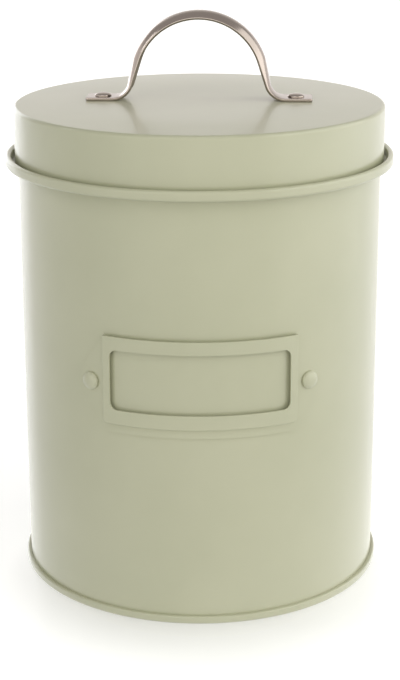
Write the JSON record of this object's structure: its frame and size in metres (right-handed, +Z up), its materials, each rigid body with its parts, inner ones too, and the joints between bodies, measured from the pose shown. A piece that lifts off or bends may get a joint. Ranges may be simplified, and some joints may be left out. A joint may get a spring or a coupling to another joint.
{
  "type": "metal storage canister",
  "caption": "Round sheet-metal kitchen canister with a lift-off lid, an arched strap handle and a riveted label holder on the front.",
  "frame": {"origin": "on the ground, at the centre of the canister's base", "axes": "+Z up along the canister's axis, label holder towards -Y, +X to the right of someone who faces the label holder"},
  "size_m": [0.1606, 0.1604, 0.2364],
  "materials": {
    "canister_paint": "satin sage green paint",
    "lid_paint": "satin sage green paint",
    "handle_nickel": "brushed nickel",
    "plain_steel": "plain steel",
    "seal_silicone": "milky silicone"
  },
  "bodies": {
    "canister": {"body_wall": "canister_paint", "base_panel": "canister_paint", "neck_collar": "plain_steel", "label_holder": "canister_paint", "label_rivet_left": "canister_paint", "label_rivet_right": "canister_paint"},
    "lid": {"lid_shell": "lid_paint", "lid_seal": "seal_silicone", "lid_handle": "handle_nickel", "handle_rivet_left": "handle_nickel", "handle_rivet_right": "handle_nickel", "handle_washer_left": "plain_steel", "handle_washer_right": "plain_steel"}
  },
  "joints": [
    {"name": "lid_lift", "type": "slide", "parent": "canister", "child": "lid", "axis": [0, 0, 1], "range_m": [0, 0.18]}
  ]
}
